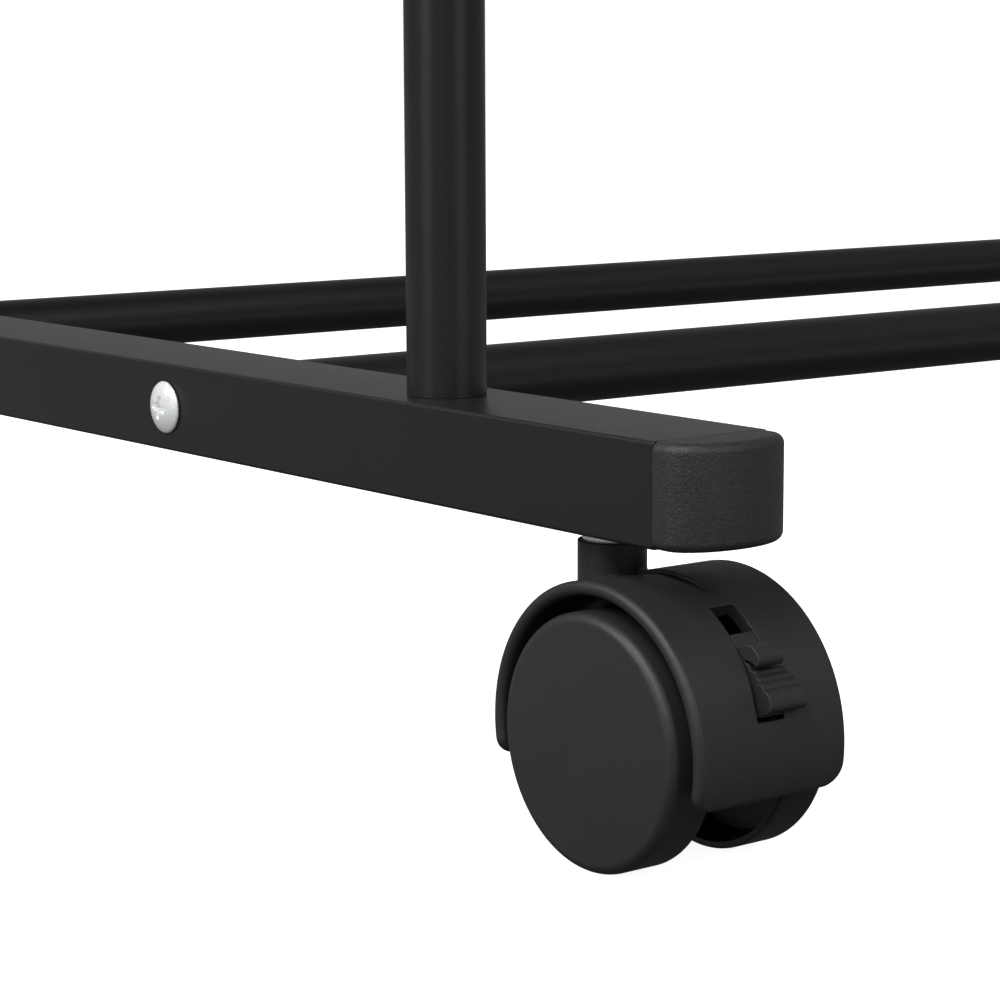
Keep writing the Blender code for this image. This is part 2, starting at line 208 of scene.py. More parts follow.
def settle(f, p, h, times=5):
    """Moves points along the gradient onto the surface f = 0."""
    for _ in range(times):
        g = gradient(f, p)
        n2 = np.maximum((g * g).sum(1), 0.05)
        step = (f(p) / n2)[:, None] * g
        size = np.maximum(np.linalg.norm(step, axis=1), 1e-9)
        p = p - step * np.minimum(1.0, 0.5 * h / size)[:, None]
    return p


def skin(f, low, high, h):
    """Surface nets: one vertex in each cell that the surface f = 0 crosses,
    settled onto it.  Returns points and quads, facing out."""
    low, high = np.asarray(low, float), np.asarray(high, float)
    n = np.ceil((high - low) / h).astype(int) + 1
    ax = [low[k] + h * np.arange(n[k]) for k in range(3)]
    field = np.empty(n, np.float32)
    yy, zz = np.meshgrid(ax[1], ax[2], indexing="ij")
    slab = max(1, 900000 // (n[1] * n[2]))
    for i in range(0, n[0], slab):
        xs = ax[0][i:i + slab]
        p = np.empty((len(xs), n[1], n[2], 3))
        p[..., 0] = xs[:, None, None]
        p[..., 1] = yy
        p[..., 2] = zz
        field[i:i + slab] = f(p.reshape(-1, 3)).reshape(len(xs), n[1], n[2])
    inside = field < 0

    def corner(a, i, j, k):
        return a[i:a.shape[0] - 1 + i, j:a.shape[1] - 1 + j,
                 k:a.shape[2] - 1 + k]
    count = sum(corner(inside, i, j, k).astype(np.uint8)
                for i in (0, 1) for j in (0, 1) for k in (0, 1))
    active = (count > 0) & (count < 8)
    where = np.argwhere(active)
    index = np.full(active.shape, -1, np.int64)
    index[active] = np.arange(len(where))
    pos, hits = np.zeros((len(where), 3)), np.zeros(len(where))
    for axis in range(3):
        others = [k for k in range(3) if k != axis]
        for a in (0, 1):
            for b in (0, 1):
                o = np.zeros(3, int)
                o[others[0]], o[others[1]] = a, b
                e = o.copy()
                e[axis] = 1
                p0, p1 = where + o, where + e
                f0 = field[p0[:, 0], p0[:, 1], p0[:, 2]].astype(float)
                f1 = field[p1[:, 0], p1[:, 1], p1[:, 2]].astype(float)
                cross = (f0 < 0) != (f1 < 0)
                t = np.where(cross, f0 / np.where(cross, f0 - f1, 1.0), 0.0)
                q = o + np.zeros((len(where), 3))
                q[:, axis] += t
                pos += q * cross[:, None]
                hits += cross
    verts = low + h * (where + pos / hits[:, None])
    quads = []
    for axis in range(3):
        u, v = (axis + 1) % 3, (axis + 2) % 3
        first = [slice(None)] * 3
        second = [slice(None)] * 3
        first[axis], second[axis] = slice(0, -1), slice(1, None)
        a, b = inside[tuple(first)], inside[tuple(second)]
        for g, out in ((np.argwhere(a & ~b), True), (np.argwhere(~a & b), False)):
            g = g[(g[:, u] > 0) & (g[:, v] > 0)
                  & (g[:, u] < n[u] - 1) & (g[:, v] < n[v] - 1)]
            cells = []
            for du, dv in ((1, 1), (0, 1), (0, 0), (1, 0)):
                c = g.copy()
                c[:, u] -= du
                c[:, v] -= dv
                cells.append(index[c[:, 0], c[:, 1], c[:, 2]])
            q = np.stack(cells, 1)
            quads.append(q if out else q[:, ::-1])
    quads = np.concatenate(quads)
    verts = settle(f, verts, h, 3)
    return verts, quads


def moulded(name, f, low, high, h, triangles):
    """A mesh of the field f, thinned to about that many triangles and
    settled again, with normals from the field itself."""
    verts, quads = skin(f, low, high, h)
    me = bpy.data.meshes.new(name + "_raw")
    me.from_pydata(verts.tolist(), [], quads.tolist())
    ob = bpy.data.objects.new(name + "_raw", me)
    bpy.context.scene.collection.objects.link(ob)
    ratio = triangles / (2.0 * len(quads))
    if ratio < 1:
        mod = ob.modifiers.new("thin", "DECIMATE")
        mod.ratio = ratio
    graph = bpy.context.evaluated_depsgraph_get()
    thin = bpy.data.meshes.new_from_object(ob.evaluated_get(graph))
    co = np.empty(len(thin.vertices) * 3)
    thin.vertices.foreach_get("co", co)
    p = settle(f, co.reshape(-1, 3), h, 4)
    g = gradient(f, p, 0.03)
    normals = g / np.maximum(np.linalg.norm(g, axis=1), 1e-9)[:, None]
    faces = [tuple(poly.vertices) for poly in thin.polygons]
    bpy.data.objects.remove(ob)
    bpy.data.meshes.remove(me)
    bpy.data.meshes.remove(thin)
    return new_mesh(name, p, faces, normals=normals)


# =====================================================================
# finishes
# =====================================================================
def nodes_of(name):
    mat = bpy.data.materials.new(name)
    mat.use_nodes = True
    tree = mat.node_tree
    tree.nodes.clear()
    out = tree.nodes.new("ShaderNodeOutputMaterial")
    shader = tree.nodes.new("ShaderNodeBsdfPrincipled")
    tree.links.new(shader.outputs["BSDF"], out.inputs["Surface"])
    return mat, tree, shader


def noise(tree, coords, scale, detail=2.0, rough=0.5, distortion=0.0):
    n = tree.nodes.new("ShaderNodeTexNoise")
    n.inputs["Scale"].default_value = scale
    n.inputs["Detail"].default_value = detail
    n.inputs["Roughness"].default_value = rough
    n.inputs["Distortion"].default_value = distortion
    tree.links.new(coords, n.inputs["Vector"])
    return n.outputs["Fac"]


def ramp(tree, fac, lo, hi, c0, c1):
    r = tree.nodes.new("ShaderNodeMapRange")
    r.inputs["From Min"].default_value = lo
    r.inputs["From Max"].default_value = hi
    r.inputs["To Min"].default_value = c0
    r.inputs["To Max"].default_value = c1
    tree.links.new(fac, r.inputs["Value"])
    return r.outputs["Result"]


def mix_colour(tree, fac, c0, c1):
    m = tree.nodes.new("ShaderNodeMix")
    m.data_type = "RGBA"
    tree.links.new(fac, m.inputs[0])
    m.inputs[6].default_value = (*c0, 1)
    m.inputs[7].default_value = (*c1, 1)
    return m.outputs[2]


def bump(tree, height, distance, strength=1.0, normal=None):
    b = tree.nodes.new("ShaderNodeBump")
    b.inputs["Distance"].default_value = distance
    b.inputs["Strength"].default_value = strength
    tree.links.new(height, b.inputs["Height"])
    if normal is not None:
        tree.links.new(normal, b.inputs["Normal"])
    return b.outputs["Normal"]


def black_finish(name, dark, light, rough, spread, specular,
                 coarse, coarse_depth, fine, fine_depth, fleck=0.0):
    """A near-black moulded or coated surface: slow colour change, small
    flecks, a little change in gloss, and two sizes of grain."""
    mat, tree, shader = nodes_of(name)
    coords = tree.nodes.new("ShaderNodeTexCoord").outputs["Object"]
    slow = ramp(tree, noise(tree, coords, 45.0, 3.0), 0.3, 0.7, 0.0,
                1.0 - fleck)
    small = ramp(tree, noise(tree, coords, coarse, 2.0, 0.6), 0.35, 0.65,
                 0.0, fleck)
    both = tree.nodes.new("ShaderNodeMath")
    both.operation = "ADD"
    tree.links.new(slow, both.inputs[0])
    tree.links.new(small, both.inputs[1])
    tree.links.new(mix_colour(tree, both.outputs[0], dark, light),
                   shader.inputs["Base Color"])
    mid = noise(tree, coords, 260.0, 4.0, 0.6)
    tree.links.new(ramp(tree, mid, 0.3, 0.7, rough - spread, rough + spread),
                   shader.inputs["Roughness"])
    shader.inputs["Specular IOR Level"].default_value = specular
    first = bump(tree, noise(tree, coords, coarse, 2.0, 0.5), coarse_depth)
    tree.links.new(bump(tree, noise(tree, coords, fine, 1.0, 0.5), fine_depth,
                        1.0, first), shader.inputs["Normal"])
    return mat


# zinc plating with a faint painted glow (emission) on top of its real colour
def glowing_zinc_finish(name):
    mat, tree, shader = nodes_of(name)
    coords = tree.nodes.new("ShaderNodeTexCoord").outputs["Object"]
    cloud = noise(tree, coords, 300.0, 3.0)
    tree.links.new(mix_colour(tree, ramp(tree, cloud, 0.3, 0.7, 0.0, 1.0),
                              (0.90, 0.92, 0.93), (0.97, 0.975, 0.98)),
                   shader.inputs["Base Color"])
    shader.inputs["Metallic"].default_value = 0.2
    tree.links.new(ramp(tree, noise(tree, coords, 900.0, 3.0), 0.3, 0.7,
                        0.20, 0.32), shader.inputs["Roughness"])
    # painted glow: a faint emission makes the plating brighter than the lamps light it
    shader.inputs["Emission Color"].default_value = (0.95, 0.98, 1.0, 1)
    shader.inputs["Emission Strength"].default_value = 0.06
    tree.links.new(bump(tree, noise(tree, coords, 1500.0, 2.0), 0.00003, 0.6),
                   shader.inputs["Normal"])
    return mat


COAT = black_finish("powder_coat", (0.0118, 0.0118, 0.0122),
                    (0.0134, 0.0134, 0.0137), 0.34, 0.012, 0.5,
                    1100.0, 0.000008, 3800.0, 0.00001, 0.3)
CAP = black_finish("cap_plastic", (0.021, 0.021, 0.0215),
                   (0.040, 0.040, 0.0405), 0.46, 0.04, 0.5,
                   2100.0, 0.00012, 4600.0, 0.00006, 0.8)
HOOD = black_finish("hood_plastic", (0.0235, 0.0235, 0.024),
                    (0.0275, 0.0275, 0.028), 0.44, 0.03, 0.5,
                    1900.0, 0.000022, 4600.0, 0.00005, 0.3)
WHEEL = black_finish("wheel_plastic", (0.0255, 0.0255, 0.026),
                     (0.0295, 0.0295, 0.030), 0.42, 0.03, 0.5,
                     1900.0, 0.000018, 4600.0, 0.00004, 0.3)
# zinc plate finish, which also glows faintly: painted light, not a lamp
GLOWING_ZINC = glowing_zinc_finish("zinc_plate")


# =====================================================================
# sizes, mm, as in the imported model
# =====================================================================
def mm_box(node):
    lo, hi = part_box(node)
    return np.array(lo) / MM, np.array(hi) / MM


rail_lo, rail_hi = mm_box("foot_rail_left")
bar_lo, bar_hi = mm_box("top_bar_left")
tube_lo, tube_hi = mm_box("shelf_rod_front")
RAIL_X = -(rail_lo[0] + rail_hi[0]) / 2
RAIL_W = rail_hi[0] - rail_lo[0]
RAIL_Z0, RAIL_Z1 = rail_lo[2], rail_hi[2]
RAIL_H = RAIL_Z1 - RAIL_Z0
RAIL_HALF_Y = rail_hi[1] + 0.15
TOP_Z0, TOP_Z1 = bar_lo[2], bar_hi[2]
TOP_HALF_Y = bar_hi[1] + 0.15
ROD_Z = (RAIL_Z0 + RAIL_Z1) / 2
BAR_Z = (TOP_Z0 + TOP_Z1) / 2
TUBE_R = (tube_hi[2] - tube_lo[2]) / 2
TUBE_R = max(TUBE_R, 8.25)
ROD_Y = -(tube_lo[1] + tube_hi[1]) / 2
_lo, _hi = mm_box("hanging_bar_front")
BAR_Y = -(_lo[1] + _hi[1]) / 2
_lo, _hi = mm_box("upright_front_left")
UPRIGHT_Y = -(_lo[1] + _hi[1]) / 2
_lo, _hi = mm_box("caster_stem_front_left")
CASTER_Y = -(_lo[1] + _hi[1]) / 2
RAIL_WALL = 1.2
RAIL_R = 0.8
TUBE_WALL = 1.0
CAP_NOSE = 10.6
CAP_FLAT = 2.6
CAP_BOW = 2.0

WHEEL_R = 24.64
WHEEL_FACE = 20.0
WHEEL_WIDE = 10.5
TRAIL = 15.85
HOOD_R = 30.4
HOOD_WALL = 2.9
HOOD_HALF_X = 18.2
NECK_R = 6.725
NECK_TOP = 59.2

SIDES = ((-1, "left"), (1, "right"))
ENDS = ((-1, "front"), (1, "rear"))


def piece(name, mesh, mat, body, at=(0, 0, 0), turn=0.0):
    """Places a fine mesh where its CAD node is, and stands it for it."""
    ob = bpy.data.objects.new("fine_" + name, mesh)
    bpy.context.scene.collection.objects.link(ob)
    ob.location = Vector(at) * MM
    ob.rotation_euler = (0, 0, turn)
    if not mesh.materials:
        mesh.materials.append(mat)
    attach(ob, body)
    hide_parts(name)
    return ob


# =====================================================================
# frame: rails, bars, tubes, caps, screws
# =====================================================================
def round_rect(ha, hb, r, n):
    return (arc(ha - r, hb - r, r, 0, 90, n) + arc(r - ha, hb - r, r, 90, 180, n)
            + arc(r - ha, r - hb, r, 180, 270, n)
            + arc(ha - r, r - hb, r, 270, 360, n))


def rail_mesh(name, half_y):
    """A rectangular tube with rolled edges; a fine burr-free edge break at
    each sawn end."""
    out = round_rect(RAIL_W / 2, RAIL_H / 2, RAIL_R, 8)
    brk = round_rect(RAIL_W / 2 - 0.15, RAIL_H / 2 - 0.15, RAIL_R - 0.1, 8)
    inn = round_rect(RAIL_W / 2 - RAIL_WALL, RAIL_H / 2 - RAIL_WALL, 0.6, 8)
    rings = [[(a, e, b) for a, b in pts] for e, pts in (
        (-half_y, brk), (0.15 - half_y, out), (half_y - 0.15, out),
        (half_y, brk), (half_y, inn), (-half_y, inn))]
    v, f = loft(rings, closed=True)
    return new_mesh(name, v, facing_out(v, f), sharp=32)


def tube_mesh(name, half, axis, segs=96):
    """A round tube with a threaded bush in each end."""
    r, i = TUBE_R, TUBE_R - TUBE_WALL
    prof = [(r, -half + 0.1), (r, half - 0.1), (r - 0.1, half), (3.3, half),
            (3.0, half - 0.5), (3.0, half - 13), (i, half - 13.4),
            (i, 13.4 - half), (3.0, 13 - half), (3.0, 0.5 - half),
            (3.3, -half), (r - 0.1, -half)]
    v, f = turned(prof, segs, axis, closed=True)
    return new_mesh(name, v, facing_out(v, f), sharp=40)


def cap_mesh(name):
    """End cap: seam at y = 0, nose towards -Y, hollow ribbed plug to +Y."""
    def plan(inset, seam, n=26):
        w, d = RAIL_W / 2 - inset, CAP_NOSE - CAP_FLAT - inset
        right = [(w, seam), (w, seam - 0.6), (w, -CAP_FLAT)]
        for k in range(1, n):
            a = math.radians(90 * k / n)
            right.append((w * math.cos(a) ** (2 / CAP_BOW),
                          -CAP_FLAT - d * math.sin(a) ** (2 / CAP_BOW)))
        return (right + [(0, inset - CAP_NOSE)]
                + [(-x, y) for x, y in right[::-1]])
    h, e, m = RAIL_H / 2, 1.9, 10
    levels = [(-h + e * (1 - math.cos(math.radians(90 * k / m))),
               e * (1 - math.sin(math.radians(90 * k / m))))
              for k in range(m + 1)]
    levels += [(-z, i) for z, i in levels[::-1]]
    v, f = loft([[(x, y, z) for x, y in plan(i, -0.02)] for z, i in levels])
    nose = (v, facing_out(v, f))
    a, b = RAIL_W / 2 - RAIL_WALL - 0.25, RAIL_H / 2 - RAIL_WALL - 0.25
    rows = []
    for y, c in ((-1.0, 0), (4.0, 0), (4.3, 0.35), (4.9, 0.35), (5.2, 0),
                 (8.0, 0), (8.3, 0.35), (8.9, 0.35), (9.2, 0), (12.6, 0),
                 (14.0, 1.0)):
        rows.append([(x, y, z) for x, z in round_rect(a - c, b - c, 0.8, 4)])
    for y, c in ((14.0, 2.0), (0.5, 2.0)):
        rows.append([(x, y, z) for x, z in round_rect(a - c, b - c, 0.6, 4)])
    v2, f2 = loft(rows)
    v, f = join(nose, (v2, facing_out(v2, f2)))
    return new_mesh(name, v, f, sharp=38)


def screw_field(length):
    """Pan-head screw along +Z: head below z = 0 (towards -Z), shank up."""
    head_r, head_h, shank = 6.0, 2.6, 2.9
    ball = (head_r ** 2 + 1.9 ** 2) / (2 * 1.9)

    def f(p):
        x, y, z = p[:, 0], p[:, 1], p[:, 2]
        r = np.hypot(x, y)
        dome = np.sqrt(r * r + (z - (ball - head_h)) ** 2) - ball
        side = rounded(r - head_r, z + 0.34, 0.1)
        side = np.minimum(side, rounded(r - head_r + 0.95, z - 0.0, 0.05))
        head = smax(dome, side, 0.5)
        turn = np.arctan2(y, x) / (2 * math.pi)
        wave = np.abs(((z - turn) % 1.0) - 0.5) * 2
        thread = shank - 0.42 * wave * step_up(z, 2.0, 3.5)
        body = rounded((r - thread) * 0.75, np.abs(z - length / 2) - length / 2 - 0.01,
                       0.25)
        out = smin(head, body, 0.3)
        deep = head_h + z
        taper = np.maximum(deep, 0) * 0.28
        bar1 = np.maximum(np.abs(x) - (0.72 - 0.4 * taper), np.abs(y) - (2.75 - 1.2 * taper))
        bar2 = np.maximum(np.abs(y) - (0.72 - 0.4 * taper), np.abs(x) - (2.75 - 1.2 * taper))
        cross = smin(bar1, bar2, 0.5)
        cross = smax(cross, z - (-head_h + 2.0), 0.3)
        return smax(out, -cross, 0.18)
    return f


def screw_mesh(name, length, triangles):
    f = screw_field(length)
    return moulded(name, f, (-6.4, -6.4, -2.9), (6.4, 6.4, length + 0.4), 0.17,
                   triangles)


def toward(axis, direction):
    """Rotation that carries local +Z onto the given axis and direction."""
    v = Vector((direction, 0, 0)) if axis == "X" else Vector((0, 0, direction))
    return Vector((0, 0, 1)).rotation_difference(v)


RAIL_MESH = rail_mesh("foot_rail_form", RAIL_HALF_Y)
BAR_MESH = rail_mesh("top_bar_form", TOP_HALF_Y)
CAP_MESH = cap_mesh("cap_form")
ROD_MESH = tube_mesh("cross_tube_form", RAIL_X - RAIL_W / 2, "X")
POST_HALF = (TOP_Z0 - RAIL_Z1) / 2
POST_MESH = tube_mesh("upright_form", POST_HALF, "Z")
LONG_SCREW = screw_mesh("cross_screw_form", RAIL_W + 11.0, 16000)
SHORT_SCREW = screw_mesh("upright_screw_form", RAIL_H + 11.0, 12000)

for side, word in SIDES:
    piece("foot_rail_" + word, RAIL_MESH, COAT, "rack_frame",
          (side * RAIL_X, 0, ROD_Z))
    piece("top_bar_" + word, BAR_MESH, COAT, "rack_frame",
          (side * RAIL_X, 0, BAR_Z))
for end, where in ENDS:
    piece("shelf_rod_" + where, ROD_MESH, COAT, "rack_frame",
          (0, end * ROD_Y, ROD_Z))
    piece("hanging_bar_" + where, ROD_MESH, COAT, "rack_frame",
          (0, end * BAR_Y, BAR_Z))


def screw_piece(name, mesh, at, axis, direction, spin):
    ob = bpy.data.objects.new("fine_" + name, mesh)
    bpy.context.scene.collection.objects.link(ob)
    ob.rotation_mode = "QUATERNION"
    turn = Matrix.Rotation(math.radians(spin), 4, "Z")
    ob.matrix_world = (Matrix.Translation(Vector(at) * MM)
                       @ toward(axis, direction).to_matrix().to_4x4() @ turn)
    if not mesh.materials:
        mesh.materials.append(GLOWING_ZINC)
    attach(ob, "rack_frame")
    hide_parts(name)


spins = iter((12, 47, 71, 25, 8, 63, 35, 80, 19, 54, 41, 5, 66, 30, 74, 50))
for side, word in SIDES:
    for end, where in ENDS:
        tag = f"{where}_{word}"
        x, y = side * RAIL_X, end * UPRIGHT_Y
        piece("upright_" + tag, POST_MESH, COAT, "rack_frame",
              (x, y, (TOP_Z0 + RAIL_Z1) / 2))
        face = side * (RAIL_X + RAIL_W / 2)
        screw_piece("shelf_rod_screw_" + tag, LONG_SCREW,
                    (face, end * ROD_Y, ROD_Z), "X", -side, next(spins))
        screw_piece("hanging_bar_screw_" + tag, LONG_SCREW,
                    (face, end * BAR_Y, BAR_Z), "X", -side, next(spins))
        screw_piece("upright_screw_bottom_" + tag, SHORT_SCREW,
                    (x, y, RAIL_Z0), "Z", 1, next(spins))
        screw_piece("upright_screw_top_" + tag, SHORT_SCREW,
                    (x, y, TOP_Z1), "Z", -1, next(spins))
        turn = 0.0 if end < 0 else math.pi
        piece("foot_cap_" + tag, CAP_MESH, CAP, "rack_frame",
              (side * RAIL_X, end * RAIL_HALF_Y, ROD_Z),
              turn)
        piece("top_cap_" + tag, CAP_MESH, CAP, "rack_frame",
              (side * RAIL_X, end * TOP_HALF_Y, BAR_Z),
              turn)


# =====================================================================
# casters, about the axle: X across, wheels trail towards -Y
# =====================================================================
def polar(p):
    """Radius and angle about the axle; the angle counts up from -Y."""
    rho = np.hypot(p[:, 1], p[:, 2])
    a = np.degrees(np.arctan2(p[:, 2], -p[:, 1]))
    return rho, np.where(a < -90, a + 360, a)


ARC = math.radians(1.0) * HOOD_R      # mm of outer surface per degree
SLOT = (13.5, 59.6)


def hood_field(p):
    x, y, z = p[:, 0], p[:, 1], p[:, 2]
    rho, a = polar(p)
    s = (a - 90.0) * ARC
    plan = rect2(x, s, HOOD_HALF_X, 105.3 * ARC, np.where(x < 0, 3.4, 5.0))
    wall = np.abs(rho - (HOOD_R - HOOD_WALL / 2)) - HOOD_WALL / 2
    shell = rounded(plan, wall, 1.42)
    # the half next to the neck sits a little lower, up to the mould line
    fade = step_up(a, 60.0, 88.0) * (1 - step_up(a, 112.0, 124.0))
    near = np.where(x < 0.8, np.exp(-np.maximum(0.55 - x, 0) / 6.5), 0.0)
    near = near * (1 - step_up(x, 0.5, 0.8))
    shell = smax(shell, rho - (HOOD_R - 1.1 * fade * near), 0.1)
    # neck
    ny = y - TRAIL
    r = np.hypot(x, ny)
    top = NECK_TOP - WHEEL_R
    neck = rounded(r - NECK_R, np.abs(z - (top + 12) / 2) - (top - 12) / 2, 0.35)
    out = smin(shell, neck, 0.9)
    # web and hub
    line1 = (-z - 7.5 - 0.2143 * y) * 0.978
    line2 = (y * 0.998 + z * 0.07) - 30.0
    line3 = -(y + 7.0)
    web = np.maximum(np.maximum(line1, line3), rho - 29.2)
    web = np.maximum(web, line2)
    web = rounded(web, np.abs(x) - 2.5, 0.4)
    out = smin(out, web, 1.0)
    hub = rounded(np.hypot(y, z) - 6.0, np.abs(x) - 9.6, 0.4)
    out = smin(out, hub, 1.0)
    # bores
    out = smax(out, -(np.hypot(y, z) - 3.06), 0.2)
    pin = np.maximum(r - 3.5, 11.2 - z)
    out = smax(out, -pin, 0.3)
    # brake slot
    mid, half = (SLOT[0] + SLOT[1]) / 2, (SLOT[1] - SLOT[0]) / 2
    wider = np.where(x < 0, 0.6 * (1 - step_up(a, 17.0, 38.0)), 0.0)
    slot = rect2(x + wider, (a - mid) * ARC, 2.95, half * ARC, 0.25)
    slot = np.maximum(slot, 24.0 - rho)
    return smax(out, -slot, 0.03)


# the slider seen along the axle: (angle, radius) of the ramp, with its
# rounded ribs, and of the thumb block that hooks over the ramp's foot
RAMP = [(36.8, 29.2), (36.6, 29.66), (35.2, 30.3), (34.1, 30.85), (33.0, 31.0),
        (31.9, 30.95), (31.3, 31.02), (30.9, 31.4), (30.4, 31.66),
        (29.8, 31.72), (29.3, 31.6), (28.9, 31.45), (28.5, 31.75),
        (28.0, 32.02), (27.4, 32.16), (26.7, 32.12), (26.1, 31.95),
        (25.8, 32.25), (25.3, 32.52), (24.7, 32.66), (24.0, 32.66),
        (23.5, 32.56), (23.15, 32.95), (22.5, 33.28), (21.6, 33.52),
        (20.4, 33.65), (19.0, 33.66), (17.8, 33.56), (16.9, 33.3),
        (16.3, 32.8), (16.0, 32.1), (15.9, 31.3), (15.9, 29.2)]
BLOCK = [(40.4, 29.3), (40.7, 30.7), (40.4, 31.5), (39.9, 32.2), (39.1, 33.0),
         (38.2, 33.5), (37.2, 33.86), (36.0, 34.08), (34.8, 34.18),
         (33.4, 34.1), (32.4, 33.86), (31.7, 33.5), (31.3, 33.1),
         (31.25, 32.75), (31.7, 32.5), (33.1, 32.1), (35.0, 31.1),
         (36.8, 29.3)]


def brake_field(p):
    x = p[:, 0]
    rho, a = polar(p)
    s = a * ARC
    ramp2 = polygon2(s, rho, [(u * ARC, v) for u, v in RAMP])
    block2 = polygon2(s, rho, [(u * ARC, v) for u, v in BLOCK])
    left = -(x + 2.75)
    ramp_end = x - (6.4 - 0.42 * np.maximum(a - 27.0, 0.0))
    block_end = x - np.interp(a, [30.0, 32.8, 35.3, 38.4, 40.5, 42.0],
                              [3.8, 3.55, 2.95, 1.95, 1.1, 0.3])
    ramp3 = rounded(rounded(ramp2, ramp_end, 0.4), left, 0.12)
    block3 = rounded(rounded(block2, block_end * 0.9, 0.35), left, 0.16)
    pad = smin(ramp3, block3, 0.12)
    # beyond the slot the pad clears the hood
    pad = np.where(x > 2.72, np.maximum(pad, 30.62 - rho), pad)
    plate = rounded(rect2(x, s - 30.8 * ARC, 2.75, 15.6 * ARC, 0.2),
                    np.abs(rho - 28.9) - 1.4, 0.06)
    return smin(pad, plate, 0.1)


def wheel_mesh(name):
    """One wheel: crowned outer face at x = 0, open side towards +X."""
    r, w = WHEEL_R, WHEEL_WIDE
    f, crown = 2.1, 0.85
    prof = [(0, -crown)]
    for k in range(1, 13):
        q = (r - f) * k / 12
        prof.append((q, -crown * (1 - (q / (r - f)) ** 2)))
    prof = prof[:-1] + [(r - f + f * math.sin(math.radians(t)),
                         f - f * math.cos(math.radians(t)))
                        for t in np.linspace(0, 90, 13)]
    prof += [(r, f + 0.8), (r, w - 1.2)]
    prof += [(r - 0.4 + 0.4 * math.cos(math.radians(t)),
              w - 0.4 + 0.4 * math.sin(math.radians(t)))
             for t in (0, 30, 60, 90)]
    inner = r - 1.45
    prof += [(inner + 0.3, w), (inner + 0.08, w - 0.08), (inner, w - 0.3),
             (inner - 0.35, 4.0), (inner - 0.8, 3.0), (inner - 1.6, 2.6),
             (7.2, 2.6), (6.3, 2.9), (6.0, 3.6), (6.0, w - 0.9),
             (5.7, w - 0.6), (3.4, w - 0.6), (3.06, w - 0.9), (3.06, 2.8),
             (0, 2.8)]
    v, fc = turned(prof, 144, "X")
    return new_mesh(name, v, facing_out(v, fc), sharp=42)


def stem_mesh(name):
    """Zinc stem about the swivel axis, height from the floor."""
    prof = [(0, 36.2), (2.9, 36.2), (3.2, 36.5), (3.2, 59.2), (5.55, 59.2),
            (5.85, 59.5), (5.85, 61.8), (5.6, 62.1), (3.9, 62.1)]
    z = 62.6
    while z < 76.0:
        prof += [(3.9, z), (3.55, z + 0.5)]
        z += 1.0
    prof += [(3.9, 76.4), (3.2, 77.5), (0, 77.5)]
    v, f = turned(prof, 48, "Z")
    return new_mesh(name, v, facing_out(v, f), sharp=40)


def axle_mesh(name):
    prof = [(0, -16.9), (2.6, -16.9), (3.0, -16.5), (3.0, 16.5), (2.6, 16.9),
            (0, 16.9)]
    v, f = turned(prof, 48, "X")
    return new_mesh(name, v, facing_out(v, f), sharp=40)


HOOD_MESH = moulded("hood_form", hood_field, (-18.7, -30.9, -10.2),
                    (18.7, 30.9, 35.1), 0.33, 90000)
BRAKE_MESH = moulded("brake_form", brake_field, (-3.2, -33.0, 6.8),
                     (7.1, -21.0, 24.0), 0.13, 34000)
WHEEL_MESH = wheel_mesh("wheel_form")
STEM_MESH = stem_mesh("stem_form")
AXLE_MESH = axle_mesh("axle_form")

for side, word in SIDES:
    for end, where in ENDS:
        tag = f"{where}_{word}"
        d = 1 if end < 0 else -1            # local axes against the row's
        turn = 0.0 if end < 0 else math.pi
        sx, sy = side * RAIL_X, end * CASTER_Y
        axle = (sx, sy - d * TRAIL, WHEEL_R)
        piece("caster_stem_" + tag, STEM_MESH, GLOWING_ZINC, "rack_frame",
              (sx, sy, 0), turn)
        piece("caster_hood_" + tag, HOOD_MESH, HOOD, "caster_" + tag,
              axle, turn)
        piece("caster_axle_" + tag, AXLE_MESH, GLOWING_ZINC, "caster_" + tag,
              axle, turn)
        piece("brake_slider_" + tag, BRAKE_MESH, HOOD, "brake_" + tag,
              axle, turn)
        for local in (-1, 1):
            outer = local * d == side
            kind = "outer" if outer else "inner"
            x = axle[0] + d * local * WHEEL_FACE
            piece(f"wheel_{kind}_{tag}", WHEEL_MESH, WHEEL,
                  f"wheel_{kind}_{tag}_body",
                  (x, axle[1], axle[2]),
                  0.0 if d * local < 0 else math.pi)


# =====================================================================
# floor, light, camera
# =====================================================================
scene = bpy.context.scene
scene.view_settings.view_transform = "Standard"

floor_mesh = bpy.data.meshes.new("floor")
half = 12.0
floor_mesh.from_pydata([(-half, -half, 0), (half, -half, 0), (half, half, 0),
                        (-half, half, 0)], [], [(0, 1, 2, 3)])
floor = bpy.data.objects.new("floor", floor_mesh)
scene.collection.objects.link(floor)
floor_mat, floor_tree, floor_shader = nodes_of("pale_floor")
floor_shader.inputs["Base Color"].default_value = (0.8, 0.8, 0.8, 1)
floor_shader.inputs["Roughness"].default_value = 1.0
floor_shader.inputs["Specular IOR Level"].default_value = 0.0
floor_shader.inputs["Emission Color"].default_value = (1, 1, 1, 1)
floor_shader.inputs["Emission Strength"].default_value = 0.93
floor_mesh.materials.append(floor_mat)
floor.visible_diffuse = False
floor.visible_glossy = False
floor.visible_transmission = False

world = bpy.data.worlds.new("studio")
scene.world = world
world.use_nodes = True
wt = world.node_tree
wt.nodes.clear()
w_out = wt.nodes.new("ShaderNodeOutputWorld")
w_mix = wt.nodes.new("ShaderNodeMixShader")
w_path = wt.nodes.new("ShaderNodeLightPath")
w_dim = wt.nodes.new("ShaderNodeBackground")
w_pale = wt.nodes.new("ShaderNodeBackground")
